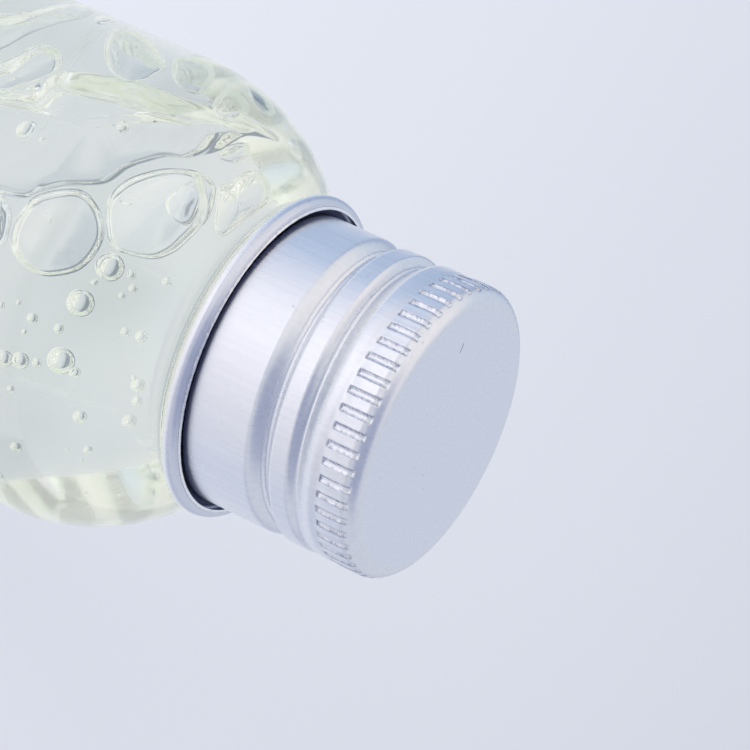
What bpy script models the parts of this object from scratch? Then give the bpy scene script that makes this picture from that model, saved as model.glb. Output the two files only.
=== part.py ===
"""A clear round bottle of toner gel, closed by a one-piece satin aluminium screw cap.

The bottle stands upright, its base centre at the origin and its axis along +Z.
The neck finish is the datum of everything at the top: the plug, the liner and the cap
shell are modelled from the plane of the neck's rim and hang on one empty there.
"""

import math

import bmesh
import bpy
from mathutils import Vector

# Driving dimensions, in metres and degrees

# Bottle body
RIM_HEIGHT = 0.1060
BODY_RADIUS = 0.02065
BODY_WALL = 0.0007
SHOULDER_RADIUS = 0.0176
HEEL_RADIUS = 0.0040
FOOT_WIDTH = 0.0030
PUSH_UP = 0.0022

# Neck finish
NECK_RADIUS = 0.01085
NECK_WALL = 0.00155
NECK_INNER_FILLET = 0.0010
RIM_CHAMFER = 0.0003
FINISH_HEIGHT = 0.0159
RING_RADIUS = 0.0148
RING_SEAT_RADIUS = 0.0140
RING_THICKNESS = 0.0010
RING_EDGE = 0.0005
CEILING_DROP = 0.0009

# Thread, shared by the neck and the cap
PITCH = 0.003175
THREAD_HEIGHT = 0.0011
THREAD_CREST_WIDTH = 0.0007
THREAD_ROOT_WIDTH = 0.0020
THREAD_TURNS = 1.5
THREAD_DROP = 0.00227
THREAD_TOP_ANGLE = 270.0
THREAD_TAPER = 35.0
THREAD_SINK = 0.0003

# Cap shell, one drawn sheet
SHEET = 0.00025
THREAD_CLEARANCE = 0.0006
ENGAGEMENT = 0.00035
CORNER_RADIUS = 0.0014
CURL_RADIUS = 0.000625
CURL_SWEEP = 270.0
CURL_CLEARANCE = 0.00035
GROOVE_LEAD_IN = 50.0
GROOVE_LEAD_OUT = 130.0
GROOVE_EXTRA_TURN = 120.0
GROOVE_MARGIN = 0.0017
KNURLS = 52
KNURL_ANGLE = -92.5
KNURL_LENGTH = 0.0029
KNURL_RISE = 0.00006
KNURL_CORNER_SWEEP = 32.0
KNURL_LEAD = 0.00018
SLOT_SHARE = 0.42
SLOT_WALL = 0.00007
SLOT_DEPTH = 0.00016

# Pieces in the neck
SEAT_GAP = 0.0003
LINER_THICKNESS = 0.0008
PLUG_FLANGE = 0.0005
PLUG_WALL = 0.0008
PLUG_DEPTH = 0.0070
PLUG_WEB = 0.0008
PLUG_SEAL_BEAD = 0.00012
ORIFICE_RADIUS = 0.0030
SPOUT_WALL = 0.0007
SPOUT_HEIGHT = 0.0016

# Gel
GEL_GAP = 0.0003
GEL_LEVEL_BELOW_RIM = 0.0172

# Facets
BODY_STEPS = 40
THREAD_STEP = 360.0 / BODY_STEPS
CAP_STEPS = KNURLS
ROWS_PER_PITCH = 6
ROW_SPAN = 4 * ROWS_PER_PITCH
DOME_SEGMENTS = 4
HEEL_SEGMENTS = 4
SHOULDER_SEGMENTS = 9
FILLET_SEGMENTS = 3
CURL_SEGMENTS = 8
CORNER_SEGMENTS = 3
SNAP = 0.00018
MERGE = 0.000001

# Sizes that follow
BORE_RADIUS = NECK_RADIUS - NECK_WALL
THREAD_RADIUS = NECK_RADIUS + THREAD_HEIGHT
RING_TOP = RIM_HEIGHT - FINISH_HEIGHT
RING_UNDER = RING_TOP - RING_THICKNESS
SHOULDER_CENTRE = BODY_RADIUS - SHOULDER_RADIUS
SHOULDER_START = RING_UNDER - math.sqrt(SHOULDER_RADIUS ** 2 - (RING_SEAT_RADIUS - SHOULDER_CENTRE) ** 2)
FOOT_OUTER = BODY_RADIUS - HEEL_RADIUS
FOOT_INNER = FOOT_OUTER - FOOT_WIDTH

SKIRT_RADIUS = THREAD_RADIUS + THREAD_CLEARANCE + SHEET
GROOVE_DEPTH = THREAD_CLEARANCE + ENGAGEMENT
BAND_RADIUS = SKIRT_RADIUS - KNURL_RISE
CAP_TOP = SEAT_GAP + PLUG_FLANGE + SEAT_GAP + LINER_THICKNESS + SEAT_GAP + SHEET
CORNER_PLANE = CAP_TOP - CORNER_RADIUS
CURL_LOW = CURL_CLEARANCE - FINISH_HEIGHT
CURL_HEIGHT = CURL_LOW + CURL_RADIUS + SHEET
GROOVE_LOW_ANGLE = THREAD_TOP_ANGLE - 360.0 * THREAD_TURNS
GROOVE_HIGH_ANGLE = THREAD_TOP_ANGLE + GROOVE_EXTRA_TURN


def thread_height(angle):
    """Height of the neck thread's middle above the rim plane at a winding angle."""
    return -THREAD_DROP - PITCH * (THREAD_TOP_ANGLE - angle) / 360.0


def groove_height(angle):
    """The cap's rolled groove runs half a pitch below the neck thread."""
    return thread_height(angle) - PITCH / 2


def smooth_step(share):
    """Ease from 0 to 1."""
    share = min(max(share, 0.0), 1.0)
    return share * share * (3.0 - 2.0 * share)


def arc(centre_r, centre_z, radius, start, end, segments):
    """Points on a circle in the profile plane, from start to end degrees, both included."""
    points = []
    for step in range(segments + 1):
        turn = math.radians(start + (end - start) * step / segments)
        points.append((centre_r + radius * math.cos(turn), centre_z + radius * math.sin(turn)))
    return points


def dome(edge_radius, rise, base_height):
    """A shallow circular dome from the axis out to its edge, which lies at base_height."""
    sphere = (edge_radius ** 2 + rise ** 2) / (2 * rise)
    half_angle = math.degrees(math.asin(edge_radius / sphere))
    return arc(0.0, base_height + rise - sphere, sphere, 90.0, 90.0 - half_angle, DOME_SEGMENTS)


def ring_point(radius, angle, height):
    """A point at a radius and an angle in degrees round the axis."""
    turn = math.radians(angle)
    return Vector((radius * math.cos(turn), radius * math.sin(turn), height))


def add_object(name, shape, material, parent=None, smooth_angle=35.0):
    """Turn a bmesh into a named object with one material, shaded smooth up to an angle."""
    mesh = bpy.data.meshes.new(name)
    shape.to_mesh(mesh)
    shape.free()
    mesh.shade_smooth()
    mesh.set_sharp_from_angle(angle=math.radians(smooth_angle))
    mesh.materials.append(material)
    piece = bpy.data.objects.new(name, mesh)
    piece.parent = parent
    bpy.context.scene.collection.objects.link(piece)
    return piece


def make_material(name, colour, roughness, metallic=0.0, transmission=0.0, alpha=1.0):
    """A Principled material with the sub-part's colour and finish."""
    material = bpy.data.materials.new(name)
    material.use_nodes = True
    shader = material.node_tree.nodes["Principled BSDF"]
    shader.inputs["Base Color"].default_value = (*colour, 1.0)
    shader.inputs["Roughness"].default_value = roughness
    shader.inputs["Metallic"].default_value = metallic
    shader.inputs["Transmission Weight"].default_value = transmission
    shader.inputs["Alpha"].default_value = alpha
    return material


def turned(profile, steps):
    """Spin a profile of (radius, height) points once round the axis into a closed body."""
    shape = bmesh.new()
    verts = [shape.verts.new((radius, 0.0, height)) for radius, height in profile]
    edges = [shape.edges.new(pair) for pair in zip(verts, verts[1:])]
    if profile[0][0] > MERGE:
        edges.append(shape.edges.new((verts[-1], verts[0])))
    bmesh.ops.spin(
        shape,
        geom=verts + edges,
        axis=(0.0, 0.0, 1.0),
        cent=(0.0, 0.0, 0.0),
        angle=math.tau,
        steps=steps,
    )
    bmesh.ops.remove_doubles(shape, verts=shape.verts, dist=MERGE)
    bmesh.ops.recalc_face_normals(shape, faces=shape.faces)
    return shape


def inner_wall_profile(gap):
    """The bottle's inside from the bore down to the axis, drawn in by a gap."""
    wall = BODY_WALL + gap
    ceiling = RING_TOP - CEILING_DROP - gap
    shoulder = SHOULDER_RADIUS - wall
    meet = math.degrees(math.asin((ceiling - SHOULDER_START) / shoulder))
    heel = HEEL_RADIUS - wall
    fillet_radius = BORE_RADIUS - gap + NECK_INNER_FILLET
    fillet_height = ceiling + NECK_INNER_FILLET
    points = arc(fillet_radius, fillet_height, NECK_INNER_FILLET, 180.0, 270.0, FILLET_SEGMENTS)
    points += arc(SHOULDER_CENTRE, SHOULDER_START, shoulder, meet, 0.0, SHOULDER_SEGMENTS - 1)
    points += arc(FOOT_OUTER, HEEL_RADIUS, heel, 0.0, -90.0, HEEL_SEGMENTS - 1)
    points += reversed(dome(FOOT_INNER, PUSH_UP, wall))
    return points


def neck_thread():
    """The neck's helical thread, its foot sunk into the wall and both ends run out."""
    shape = bmesh.new()
    count = round(THREAD_TURNS * 360.0 / THREAD_STEP)
    sections = []
    for step in range(count + 1):
        angle = THREAD_TOP_ANGLE - step * THREAD_STEP
        from_end = min(step, count - step) * THREAD_STEP
        full = smooth_step(from_end / THREAD_TAPER)
        crest = NECK_RADIUS - THREAD_SINK / 2 + (THREAD_HEIGHT + THREAD_SINK / 2) * full
        foot = NECK_RADIUS - THREAD_SINK
        middle = RIM_HEIGHT + thread_height(angle)
        outline = (
            (foot, -THREAD_ROOT_WIDTH / 2),
            (crest, -THREAD_CREST_WIDTH / 2),
            (crest, THREAD_CREST_WIDTH / 2),
            (foot, THREAD_ROOT_WIDTH / 2),
        )
        sections.append([shape.verts.new(ring_point(r, angle, middle + z)) for r, z in outline])
    for near, far in zip(sections, sections[1:]):
        for side in range(len(near)):
            after = (side + 1) % len(near)
            shape.faces.new((near[side], near[after], far[after], far[side]))
    shape.faces.new(sections[0])
    shape.faces.new(list(reversed(sections[-1])))
    bmesh.ops.recalc_face_normals(shape, faces=shape.faces)
    return shape


def make_bottle(material):
    """Blown body with a push-up base and a round shoulder, support ring and threaded neck."""
    seat_angle = math.degrees(math.asin((RING_UNDER - SHOULDER_START) / SHOULDER_RADIUS))
    profile = dome(FOOT_INNER, PUSH_UP, 0.0)
    profile += arc(FOOT_OUTER, HEEL_RADIUS, HEEL_RADIUS, -90.0, 0.0, HEEL_SEGMENTS)
    profile += arc(SHOULDER_CENTRE, SHOULDER_START, SHOULDER_RADIUS, 0.0, seat_angle, SHOULDER_SEGMENTS)
    profile += [
        (RING_RADIUS, RING_UNDER),
        (RING_RADIUS, RING_UNDER + RING_EDGE),
        (RING_SEAT_RADIUS, RING_TOP),
        (NECK_RADIUS, RING_TOP),
        (NECK_RADIUS, RIM_HEIGHT - RIM_CHAMFER),
        (NECK_RADIUS - RIM_CHAMFER, RIM_HEIGHT),
        (BORE_RADIUS, RIM_HEIGHT),
    ]
    profile += inner_wall_profile(0.0)
    bottle = add_object("bottle", turned(profile, BODY_STEPS), material)

    thread = add_object("neck_thread_form", neck_thread(), material)
    thread.hide_render = True
    thread.display_type = "WIRE"
    union = bottle.modifiers.new("neck thread", "BOOLEAN")
    union.operation = "UNION"
    union.object = thread
    return bottle


def make_gel(material):
    """The fill, a gap inside the wall, up to its level just under the neck."""
    level = RIM_HEIGHT - GEL_LEVEL_BELOW_RIM
    inside = [point for point in inner_wall_profile(GEL_GAP) if point[1] < level - MERGE]
    shoulder = SHOULDER_RADIUS - BODY_WALL - GEL_GAP
    edge = SHOULDER_CENTRE + math.sqrt(shoulder ** 2 - (level - SHOULDER_START) ** 2)
    profile = [(0.0, level), (edge, level)] + inside
    return add_object("toner_gel", turned(profile, BODY_STEPS), material)


def make_reducer(material, datum):
    """Plug for the neck bore: flange on the rim, seal bead, web and a short pouring spout."""
    plug_radius = BORE_RADIUS - SEAT_GAP
    cup_radius = plug_radius - PLUG_WALL
    spout_radius = ORIFICE_RADIUS + SPOUT_WALL
    under = SEAT_GAP
    top = under + PLUG_FLANGE
    bottom = under - PLUG_DEPTH
    floor = bottom + PLUG_WEB
    bead = (under + bottom) / 2
    profile = [
        (ORIFICE_RADIUS, bottom),
        (plug_radius - PLUG_WEB, bottom),
        (plug_radius, floor),
        (plug_radius, bead - PLUG_WEB),
        (plug_radius + PLUG_SEAL_BEAD, bead),
        (plug_radius, bead + PLUG_WEB),
        (plug_radius, under),
        (NECK_RADIUS - RIM_CHAMFER, under),
        (NECK_RADIUS - RIM_CHAMFER, top),
        (cup_radius, top),
        (cup_radius, floor),
        (spout_radius, floor),
        (spout_radius, floor + SPOUT_HEIGHT),
        (ORIFICE_RADIUS, floor + SPOUT_HEIGHT),
    ]
    return add_object("orifice_reducer", turned(profile, BODY_STEPS), material, datum)


def make_liner(material, datum):
    """Foam wad between the plug's flange and the cap's top."""
    radius = BAND_RADIUS - CORNER_RADIUS
    bottom = SEAT_GAP + PLUG_FLANGE + SEAT_GAP
    top = bottom + LINER_THICKNESS
    profile = [(0.0, bottom), (radius, bottom), (radius, top), (0.0, top)]
    return add_object("cap_liner", turned(profile, BODY_STEPS), material, datum)


def groove_depth(angle, height):
    """How far the rolled thread pushes the skirt in, at an angle and a height."""
    turns_up = (height - groove_height(angle)) / PITCH
    nearest = round(turns_up)
    winding = angle + 360.0 * nearest
    lead_in = smooth_step((winding - GROOVE_LOW_ANGLE) / GROOVE_LEAD_IN)
    lead_out = smooth_step((GROOVE_HIGH_ANGLE - winding) / GROOVE_LEAD_OUT)
    across = math.cos(math.pi * (turns_up - nearest))
    return GROOVE_DEPTH * lead_in * lead_out * across ** 3


def cap_columns():
    """Angles of the cap's mesh columns, midway between the knurl slots, over one turn."""
    step = 360.0 / CAP_STEPS
    first = KNURL_ANGLE + step / 2
    return [first + step * column for column in range(CAP_STEPS)]


def bridge_rings(shape, lower, upper):
    """Quads between two rings of vertices of the same length, facing out."""
    count = len(lower)
    faces = []
    for column in range(count):
        after = (column + 1) % count
        faces.append(shape.faces.new((lower[column], lower[after], upper[after], upper[column])))
    return faces


def add_ring(shape, radius, height):
    """One ring of vertices on the cap's columns."""
    return [shape.verts.new(ring_point(radius, angle, height)) for angle in cap_columns()]


def thread_band(shape, low, high, lower_ring, upper_ring):
    """Mesh rows that climb with the thread between two level rings.

    A row keeps its place beside the groove all the way round, so after one turn it goes on
    as the row one pitch higher. Rows are cut off at the level rings.
    """
    angles = cap_columns()
    lines = range(-ROW_SPAN, ROW_SPAN)
    columns = []
    for column, angle in enumerate(angles):
        verts = {}
        for line in lines:
            height = groove_height(angle) + PITCH * line / ROWS_PER_PITCH
            if height < low + SNAP:
                verts[line] = lower_ring[column]
            elif height > high - SNAP:
                verts[line] = upper_ring[column]
            else:
                radius = SKIRT_RADIUS - groove_depth(angle, height)
                verts[line] = shape.verts.new(ring_point(radius, angle, height))
        columns.append(verts)

    def vertex(column, line):
        if column < CAP_STEPS:
            return columns[column][line]
        return columns[0].get(line + ROWS_PER_PITCH, upper_ring[0])

    for column in range(CAP_STEPS):
        for line in lines[:-1]:
            corners = [
                vertex(column, line),
                vertex(column + 1, line),
                vertex(column + 1, line + 1),
                vertex(column, line + 1),
            ]
            unique = [corner for place, corner in enumerate(corners) if corner not in corners[:place]]
            if len(unique) > 2:
                shape.faces.new(unique)


def slot_edges():
    """Angles of the knurl slots' edges, two for each mesh column of the cap."""
    half_step = 180.0 / CAP_STEPS
    half_slot = half_step * SLOT_SHARE
    edges = []
    for angle in cap_columns():
        edges += [angle + half_step - half_slot, angle + half_step + half_slot]
    return edges


def join_slot_ring(shape, plain, slotted, slotted_above):
    """Faces between a plain ring and a ring of slot edges, which has two vertices for each."""
    for column in range(CAP_STEPS):
        after = (column + 1) % CAP_STEPS
        opening, closing = slotted[2 * column], slotted[2 * column + 1]
        under_slot = [plain[column], plain[after], closing, opening]
        under_land = [plain[column], opening, slotted[2 * column - 1]]
        for corners in (under_slot, under_land):
            shape.faces.new(corners if slotted_above else reversed(corners))


def knurled_band(shape, profile):
    """Lands and slots on a profile of (radius, height) points: its end rings and slot faces."""
    rings = []
    for radius, height in profile:
        rings.append([shape.verts.new(ring_point(radius, angle, height)) for angle in slot_edges()])
    slots = [[] for _ in range(KNURLS)]
    for lower, upper in zip(rings, rings[1:]):
        faces = bridge_rings(shape, lower, upper)
        for knurl in range(KNURLS):
            slots[knurl].append(faces[2 * knurl])
    return rings[0], rings[-1], slots


def press_slots(shape, slots):
    """Press every slot in between its lands, once the faces round it are there."""
    for faces in slots:
        bmesh.ops.inset_region(
            shape,
            faces=faces,
            thickness=SLOT_WALL,
            depth=-SLOT_DEPTH,
            use_even_offset=True,
        )


def make_cap_shell(material, datum):
    """One drawn sheet: curled edge, skirt, rolled thread, knurled band, rounded top."""
    shape = bmesh.new()

    # Curl, from its cut edge round and down to the skirt
    centre = SKIRT_RADIUS + CURL_RADIUS
    curl = arc(centre, CURL_HEIGHT, CURL_RADIUS, CURL_SWEEP - 180.0, -180.0, CURL_SEGMENTS)
    ring = add_ring(shape, *curl[0])
    for radius, height in curl[1:]:
        above = add_ring(shape, radius, height)
        bridge_rings(shape, ring, above)
        ring = above

    # Skirt and thread
    thread_low = groove_height(GROOVE_LOW_ANGLE) - GROOVE_MARGIN
    knurl_low = CORNER_PLANE + CORNER_RADIUS * math.sin(math.radians(KNURL_CORNER_SWEEP)) - KNURL_LENGTH
    thread_high = knurl_low - KNURL_LEAD
    skirt_top = add_ring(shape, SKIRT_RADIUS, thread_low)
    bridge_rings(shape, ring, skirt_top)
    band_top = add_ring(shape, BAND_RADIUS, thread_high)
    thread_band(shape, thread_low, thread_high, skirt_top, band_top)

    # Knurled band, which runs a little way up the corner
    corner_centre = SKIRT_RADIUS - CORNER_RADIUS
    knurl_profile = [(SKIRT_RADIUS, knurl_low)]
    knurl_profile += arc(corner_centre, CORNER_PLANE, CORNER_RADIUS, 0.0, KNURL_CORNER_SWEEP, 1)
    knurl_base, knurl_end, slots = knurled_band(shape, knurl_profile)
    join_slot_ring(shape, band_top, knurl_base, True)

    # Rest of the corner and the flat top
    corner = arc(corner_centre, CORNER_PLANE, CORNER_RADIUS, KNURL_CORNER_SWEEP, 90.0, CORNER_SEGMENTS)
    ring = add_ring(shape, *corner[1])
    join_slot_ring(shape, ring, knurl_end, False)
    for radius, height in corner[2:]:
        above = add_ring(shape, radius, height)
        bridge_rings(shape, ring, above)
        ring = above
    shape.faces.new(ring)
    press_slots(shape, slots)

    cap = add_object("cap_shell", shape, material, datum)
    sheet = cap.modifiers.new("sheet", "SOLIDIFY")
    sheet.thickness = SHEET
    sheet.offset = -1.0
    sheet.use_even_offset = True
    return cap


def main():
    for old in list(bpy.context.scene.objects):
        bpy.data.objects.remove(old, do_unlink=True)

    clear = make_material("clear_pet", (0.93, 0.96, 0.95), 0.05, transmission=0.95, alpha=0.4)
    gel = make_material("toner_gel", (0.86, 0.90, 0.74), 0.05, transmission=0.9, alpha=0.7)
    plug = make_material("natural_ldpe", (0.93, 0.94, 0.95), 0.45)
    foam = make_material("white_foam", (0.90, 0.90, 0.89), 0.85)
    satin = make_material("satin_aluminium", (0.76, 0.78, 0.84), 0.34, metallic=1.0)

    datum = bpy.data.objects.new("rim_datum", None)
    datum.location = (0.0, 0.0, RIM_HEIGHT)
    bpy.context.scene.collection.objects.link(datum)

    make_bottle(clear)
    make_gel(gel)
    make_reducer(plug, datum)
    make_liner(foam, datum)
    make_cap_shell(satin, datum)


main()
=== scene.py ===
"""Looks of the toner bottle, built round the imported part.

The scene is in metres, with the base centre at the origin and +Z up to the cap. The sizes
below are in millimetres and degrees unless they say otherwise. Those headed as packed repeat
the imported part's own, because this script reads nothing but that part.
"""

import math

import bmesh
import bpy
import numpy as np
from mathutils import Matrix, Vector

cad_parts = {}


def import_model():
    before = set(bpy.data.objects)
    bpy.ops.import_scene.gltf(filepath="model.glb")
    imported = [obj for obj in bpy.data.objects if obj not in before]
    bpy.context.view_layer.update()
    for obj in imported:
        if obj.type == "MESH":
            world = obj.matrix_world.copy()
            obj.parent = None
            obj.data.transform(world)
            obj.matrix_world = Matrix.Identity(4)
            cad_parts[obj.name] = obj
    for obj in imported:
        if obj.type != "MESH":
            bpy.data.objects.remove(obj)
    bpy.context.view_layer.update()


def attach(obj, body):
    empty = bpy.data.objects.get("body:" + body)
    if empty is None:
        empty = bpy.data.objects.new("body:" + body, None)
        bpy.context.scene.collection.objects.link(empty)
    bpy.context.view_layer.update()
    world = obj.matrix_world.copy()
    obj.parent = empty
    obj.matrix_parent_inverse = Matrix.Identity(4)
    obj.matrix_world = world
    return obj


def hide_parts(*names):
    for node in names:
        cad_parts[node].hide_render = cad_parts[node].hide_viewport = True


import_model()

MM = 0.001

# Bottle, as packed
RIM = 106.0
BODY_R, BODY_WALL = 20.65, 0.70
SHOULDER_R, SHOULDER_Z = 17.60, 75.32
HEEL_R, FOOT_IN, PUSH_UP = 4.0, 13.65, 2.2
NECK_R, BORE_R = 10.85, 9.30
PITCH, THREAD_H = 3.175, 1.1
THREAD_START, THREAD_TOP_ANGLE, THREAD_TAPER, THREAD_DROP = -270.0, 270.0, 35.0, 2.27
THREAD_HALF, THREAD_FLANK = 1.0, 0.65

# The support ring and the shoulder's top are drawn as the photo shows them, hidden by the curl
RING_R, RING_UNDER, RING_TOP, CEILING = 12.9, 89.91, 90.1, 89.55

# Cap shell, as packed
SKIRT_R, SHEET = 12.80, 0.25
CORNER_Z, CORNER_R = 107.05, 1.4
CURL_R, CURL_Z = 0.625, 91.325
KNURLS, KNURL_ANGLE = 52, -92.5

# Plug and liner, as packed, with the plug's sealing bead a little rounded
PLUG_R, PLUG_LOW, CUP_R, CUP_FLOOR = 9.0, 99.3, 8.2, 100.1
BEAD_SHAPE = ((0.0, 102.0), (0.05, 102.3), (0.12, 102.8), (0.05, 103.3), (0.0, 103.6))
SPOUT_R, SPOUT_H, ORIFICE_R = 3.7, 1.6, 3.0
FLANGE_R, FLANGE_LOW, FLANGE_TOP = 10.55, 106.3, 106.8
LINER_R, LINER_LOW, LINER_TOP = 11.34, 107.1, 107.9


# Mesh helpers

def smooth(share):
    """A share held between 0 and 1 and eased at both ends."""
    share = np.clip(share, 0.0, 1.0)
    return share * share * (3.0 - 2.0 * share)


def ramp(value, place, reach):
    """0 at a place and 1 a reach beyond it, eased. A negative reach runs the other way."""
    return smooth((value - place) / reach)


def hump(distance, width):
    """A bell curve that is 1 at no distance."""
    return np.exp(-(distance / width) ** 2)


def arc(centre_r, centre_z, radius, start, end, segments):
    """Points (radius, height) along an arc."""
    turn = np.radians(np.linspace(start, end, segments + 1))
    return np.column_stack((centre_r + radius * np.cos(turn), centre_z + radius * np.sin(turn)))


def spin(radius, height, angles):
    """Rows of rings in metres: radius and height are (rows, columns) arrays in millimetres."""
    turn = np.radians(angles)[None, :]
    return np.stack((radius * np.cos(turn), radius * np.sin(turn), height + 0.0 * turn), axis=2) * MM


def grid_faces(rows, columns):
    """Quads of a grid whose columns close round; they face out when the rows run upwards."""
    r, c = np.meshgrid(np.arange(rows - 1), np.arange(columns), indexing="ij")
    low, high = r * columns, (r + 1) * columns
    after = (c + 1) % columns
    return np.stack((low + c, low + after, high + after, high + c), axis=2).reshape(-1, 4).tolist()


def close_ends(faces, rows, columns, low, high):
    """Add the triangles that join a grid's first row to vertex low and its last row to vertex high."""
    last = (rows - 1) * columns
    for c in range(columns):
        after = (c + 1) % columns
        faces.append([low, after, c])
        faces.append([high, last + c, last + after])


def turned_mesh(profile, columns, relief=0.0):
    """Vertices and faces of a closed body turned from a profile.

    A profile that starts on the axis also ends there, and any other is closed on itself.
    Relief is added to the radius and leaves out the profile's two ends on the axis.
    """
    profile = np.asarray(profile, float)
    angles = np.arange(columns) * 360.0 / columns
    on_axis = profile[0][0] < 1e-6
    ring = profile[1:-1] if on_axis else np.vstack((profile, profile[:1]))
    rows = len(ring)
    radius = np.repeat(ring[:, :1], columns, axis=1) + relief
    height = np.repeat(ring[:, 1:], columns, axis=1)
    verts = spin(radius, height, angles)
    faces = grid_faces(rows, columns)
    if not on_axis:
        count = (rows - 1) * columns
        return verts[:-1].reshape(-1, 3), [[v % count for v in face] for face in faces]
    verts = verts.reshape(-1, 3)
    close_ends(faces, rows, columns, len(verts), len(verts) + 1)
    ends = np.array([[0, 0, profile[0][1]], [0, 0, profile[-1][1]]]) * MM
    return np.vstack((verts, ends)), faces


def add_mesh(name, verts, faces, material, body, node, marks=None):
    """A smooth piece that rides on a body in a node's place, with marks as values on its vertices."""
    mesh = bpy.data.meshes.new(name)
    mesh.from_pydata(np.asarray(verts).reshape(-1, 3).tolist(), [], faces)
    mesh.validate()
    mesh.shade_smooth()
    for key, values in (marks or {}).items():
        attribute = mesh.attributes.new(key, "FLOAT", "POINT")
        attribute.data.foreach_set("value", np.asarray(values, np.float32).ravel())
    mesh.materials.append(material)
    piece = bpy.data.objects.new(name, mesh)
    bpy.context.scene.collection.objects.link(piece)
    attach(piece, body)
    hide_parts(node)


# Material helpers

class Nodes:
    """Short calls for building one node tree."""

    def __init__(self, tree):
        self.tree = tree

    def link(self, value, socket):
        """Join a socket to an input, or set the input where the value is plain."""
        if isinstance(value, bpy.types.NodeSocket):
            self.tree.links.new(value, socket)
        elif isinstance(value, tuple) and len(socket.default_value) == 4:
            socket.default_value = (*value, 1.0)[:4]
        else:
            socket.default_value = value

    def add(self, kind, inputs=None, **settings):
        """A node with its settings, its inputs set or joined by name or number."""
        node = self.tree.nodes.new(kind)
        for key, value in settings.items():
            setattr(node, key, value)
        for key, value in (inputs or {}).items():
            self.link(value, node.inputs[key])
        return node

    def place(self):
        """The place in the piece's own coordinates, in metres."""
        return self.add("ShaderNodeTexCoord").outputs["Object"]

    def mark(self, name):
        """A value that the mesh carries on its vertices."""
        return self.add("ShaderNodeAttribute", attribute_name=name).outputs["Fac"]

    def math(self, operation, a, b=0.0):
        return self.add("ShaderNodeMath", {0: a, 1: b}, operation=operation).outputs[0]

    def times(self, a, b):
        return self.math("MULTIPLY", a, b)

    def dot(self, a, b):
        return self.add("ShaderNodeVectorMath", {0: a, 1: b}, operation="DOT_PRODUCT").outputs["Value"]

    def noise(self, vector, scale, detail=2.0, roughness=0.5, distortion=0.0):
        """Noise with its own scale along each axis, in waves per metre."""
        if isinstance(scale, tuple):
            vector = self.add("ShaderNodeVectorMath", {0: vector, 1: scale}, operation="MULTIPLY").outputs[0]
            scale = 1.0
        inputs = {"Vector": vector, "Scale": scale, "Detail": detail, "Roughness": roughness,
                  "Distortion": distortion}
        return self.add("ShaderNodeTexNoise", inputs).outputs["Fac"]

    def span(self, value, low, high, out_low=0.0, out_high=1.0, kind="LINEAR"):
        """The value's place between low and high, read out between two other values."""
        inputs = {"Value": value, "From Min": low, "From Max": high, "To Min": out_low, "To Max": out_high}
        return self.add("ShaderNodeMapRange", inputs, interpolation_type=kind).outputs["Result"]

    def ease(self, value, low, high, out_low=0.0, out_high=1.0):
        """The same as span, with both ends eased."""
        return self.span(value, low, high, out_low, out_high, "SMOOTHSTEP")

    def mix(self, factor, a, b):
        """Colour a where the factor is 0 and b where it is 1."""
        return self.add("ShaderNodeMix", {0: factor, 6: a, 7: b}, data_type="RGBA").outputs[2]

    def bump(self, height, strength, distance):
        inputs = {"Height": height, "Strength": strength, "Distance": distance}
        return self.add("ShaderNodeBump", inputs).outputs["Normal"]


def new_material(name):
    """A node material, the helper for its tree, and its shader."""
    material = bpy.data.materials.new(name)
    material.use_nodes = True
    return material, Nodes(material.node_tree), material.node_tree.nodes["Principled BSDF"]


# Materials. Lengths in them are in metres and noise scales in waves per metre.

WHITE, METAL_LOW, METAL_HIGH = (0.99, 0.99, 1.0), (0.825, 0.845, 0.88), (0.89, 0.905, 0.935)
# The top's painted reflection tint, and the painted shade on the curl's rim
TOP_REFLECTION_TINT, RIM_SHADE = (0.83, 0.88, 1.0), (0.60, 0.64, 0.77)
DARK_LINE, SPECK, SCRATCH = (0.40, 0.44, 0.58), (0.50, 0.52, 0.60), (0.22, 0.26, 0.36)
# The slots' floors get a painted highlight and their walls a painted shade
SLOT_FLOOR_HIGHLIGHT, SLOT_WALL_SHADE = (0.98, 0.98, 0.99), (0.17, 0.21, 0.34)
# Painted shade, lavender-grey in the curl's trough and by the curl, near black in a thin line on the skirt
# just above it
CREVICE_SHADE, CREVICE_SHADE_DEEP = (0.42, 0.45, 0.60), (0.035, 0.035, 0.05)

# Dark lines and painted highlight lines along the thread, as a place and a width in pitches across the groove
DARK_LINE_LOW, DARK_LINE_HIGH = (-0.155, 0.020), (-0.055, 0.022)
HIGHLIGHT_LINE_LOW, HIGHLIGHT_LINE_HIGH = (-0.105, 0.022), (0.012, 0.022)

# The scratch on the top: its middle, its direction, and where its ends and its sides fade out
SCRATCH_PLACE, SCRATCH_ALONG = (-0.00725, -0.004005, 0.0), (0.9903, 0.139, 0.0)
SCRATCH_ACROSS = (-SCRATCH_ALONG[1], SCRATCH_ALONG[0], 0.0)
SCRATCH_ENDS, SCRATCH_SIDES = (0.00038, 0.00048), (0.00003, 0.00009)


def groove_lines(n, jagged):
    """Dark lines along the bottom of every turn, and painted highlight lines beside them."""
    even = n.mark("across_groove")
    ragged = n.math("ADD", even, n.span(jagged, 0.25, 0.75, -0.016, 0.016))
    deep = n.span(n.mark("groove_depth"), 0.50, 0.80)

    def line(across, centre, width):
        off = n.math("ABSOLUTE", n.math("SUBTRACT", across, centre))
        return n.times(n.ease(off, 0.0, width, 1.0, 0.0), deep)

    dark_lines = n.math("MAXIMUM", line(ragged, *DARK_LINE_LOW), line(ragged, *DARK_LINE_HIGH))
    highlight_lines = n.math("MAXIMUM", line(even, *HIGHLIGHT_LINE_HIGH), line(ragged, *HIGHLIGHT_LINE_LOW))
    return dark_lines, highlight_lines


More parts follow.
